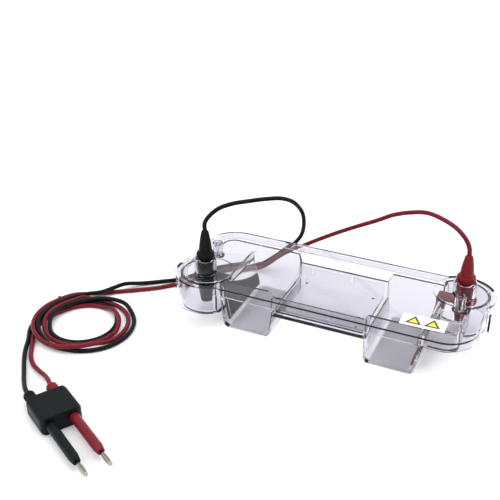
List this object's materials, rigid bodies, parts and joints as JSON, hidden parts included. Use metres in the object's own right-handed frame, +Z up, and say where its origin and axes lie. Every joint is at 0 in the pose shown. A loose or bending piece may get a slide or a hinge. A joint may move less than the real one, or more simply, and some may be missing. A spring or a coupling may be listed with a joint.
{
  "type": "gel electrophoresis tank",
  "caption": "Clear buffer tank with a raised gel platform between two reservoirs, a lift-off lid with twin leads, and a twin power plug on a coiled lead.",
  "frame": {"origin": "under the middle of the tank, on the bench that it stands on", "axes": "+X along the tank towards the anode (red), +Y towards the side where the leads fall behind the tank, +Z up"},
  "size_m": [0.3904, 0.3325, 0.11],
  "materials": {
    "tank_acrylic": "polished clear moulding",
    "lid_acrylic": "polished clear moulding",
    "tray_acrylic": "polished clear plastic",
    "label": "printed film",
    "black_plastic": "moulded",
    "red_plastic": "moulded, slightly translucent",
    "black_rubber": "moulded",
    "red_rubber": "moulded",
    "black_cord": "extruded jacket",
    "red_cord": "extruded jacket",
    "platinum": "drawn wire",
    "gold_plate": "plated",
    "brass": "turned",
    "steel": "plain",
    "nickel": "plated"
  },
  "bodies": {
    "tank": {"tank_body": "tank_acrylic", "cathode_carrier": "black_plastic", "anode_carrier": "red_plastic", "cathode_wire": "platinum", "anode_wire": "platinum", "cathode_terminal": "gold_plate", "anode_terminal": "gold_plate", "terminal_washers": "steel", "terminal_nuts": "steel", "cathode_lead_run": "black_cord", "anode_lead_run": "red_cord", "lead_coil": "black_cord", "coil_tie": "black_rubber", "cathode_lead_tail": "black_cord", "anode_lead_tail": "red_cord", "plug_block": "black_plastic", "cathode_relief": "black_rubber", "anode_relief": "red_rubber", "cathode_shroud": "black_plastic", "anode_shroud": "red_plastic", "cathode_pin": "nickel", "anode_pin": "nickel"},
    "lid": {"lid": "lid_acrylic", "lid_vents": "lid_acrylic", "lid_label": "label", "cathode_plug": "black_plastic", "anode_plug": "red_plastic", "cathode_socket": "brass", "anode_socket": "brass", "cathode_boot": "black_rubber", "anode_boot": "red_rubber", "cathode_lead_arc": "black_cord", "anode_lead_arc": "red_cord"},
    "gel_tray": {"gel_tray": "tray_acrylic"}
  },
  "joints": [
    {"name": "lid_lift", "type": "slide", "parent": "tank", "child": "lid", "axis": [0, 0, 1], "range_m": [0, 0.06]},
    {"name": "tray_lift", "type": "slide", "parent": "tank", "child": "gel_tray", "axis": [0, 0, 1], "range_m": [0, 0.008]}
  ]
}
